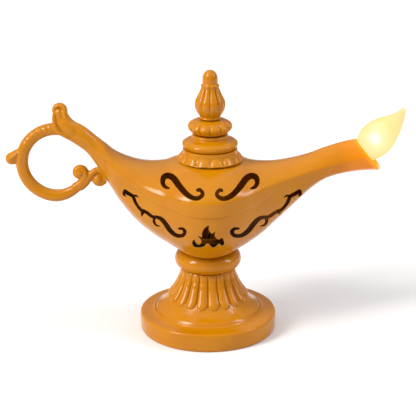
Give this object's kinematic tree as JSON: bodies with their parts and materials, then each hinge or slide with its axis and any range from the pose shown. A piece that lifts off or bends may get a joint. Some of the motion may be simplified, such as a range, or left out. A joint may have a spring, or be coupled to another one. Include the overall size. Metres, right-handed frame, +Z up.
{
  "type": "led genie lamp",
  "caption": "Oil-lamp shaped LED table lamp: hollow pierced bowl with spout, ring handle, lift-off lid, reeded foot with battery bay, and a glowing flame lens.",
  "frame": {"origin": "middle of the overall length, on the surface the foot stands on", "axes": "+X towards the spout, +Z up, -Y towards the front"},
  "size_m": [0.1974, 0.07, 0.1342],
  "materials": {
    "gold_plastic": "moulded gold orange plastic, glossy",
    "flame_plastic": "translucent frosted plastic, glowing",
    "led_resin": "clear resin",
    "black_plastic": "moulded matt",
    "steel": "plated",
    "board": "green solder mask",
    "red_insulation": "satin",
    "black_insulation": "satin",
    "resistor_body": "lacquer"
  },
  "bodies": {
    "lamp": {"pedestal": "gold_plastic", "stem_ring": "gold_plastic", "stem_nut": "black_plastic", "shell_front": "gold_plastic", "shell_back": "gold_plastic", "handle": "gold_plastic", "collar": "gold_plastic", "flame_lens": "flame_plastic", "mouth_plug": "gold_plastic", "led": "led_resin", "led_wire_red": "red_insulation", "led_wire_black": "black_insulation", "battery_wire_red": "red_insulation", "battery_wire_black": "black_insulation", "circuit_board": "board", "flicker_chip": "black_plastic", "resistor": "resistor_body", "switch_housing": "steel", "base_cover": "black_plastic", "cell_1": "steel", "cell_2": "steel", "cell_3": "steel", "contact_plate": "steel", "spring_plate": "steel", "contact_spring": "steel", "base_screw_1": "steel", "base_screw_2": "steel", "base_screw_3": "steel", "shell_screw_1": "steel", "shell_screw_2": "steel", "shell_screw_3": "steel", "shell_screw_4": "steel"},
    "lid": {"lid": "gold_plastic", "finial_bead": "gold_plastic", "finial": "gold_plastic", "lid_screw": "steel"},
    "battery_door": {"battery_door": "black_plastic", "door_screw": "steel"},
    "switch_slider": {"switch_slider": "black_plastic"}
  },
  "joints": [
    {"name": "lid_lift", "type": "slide", "parent": "lamp", "child": "lid", "axis": [0, 0, 1], "range_m": [0, 0.035]},
    {"name": "door_swing", "type": "hinge", "parent": "lamp", "child": "battery_door", "pos_m": [-0.00578, 0, 0.001], "axis": [0, 1, 0], "range_deg": [0, 75]},
    {"name": "switch_slide", "type": "slide", "parent": "lamp", "child": "switch_slider", "axis": [1, 0, 0], "range_m": [0, 0.002]}
  ]
}
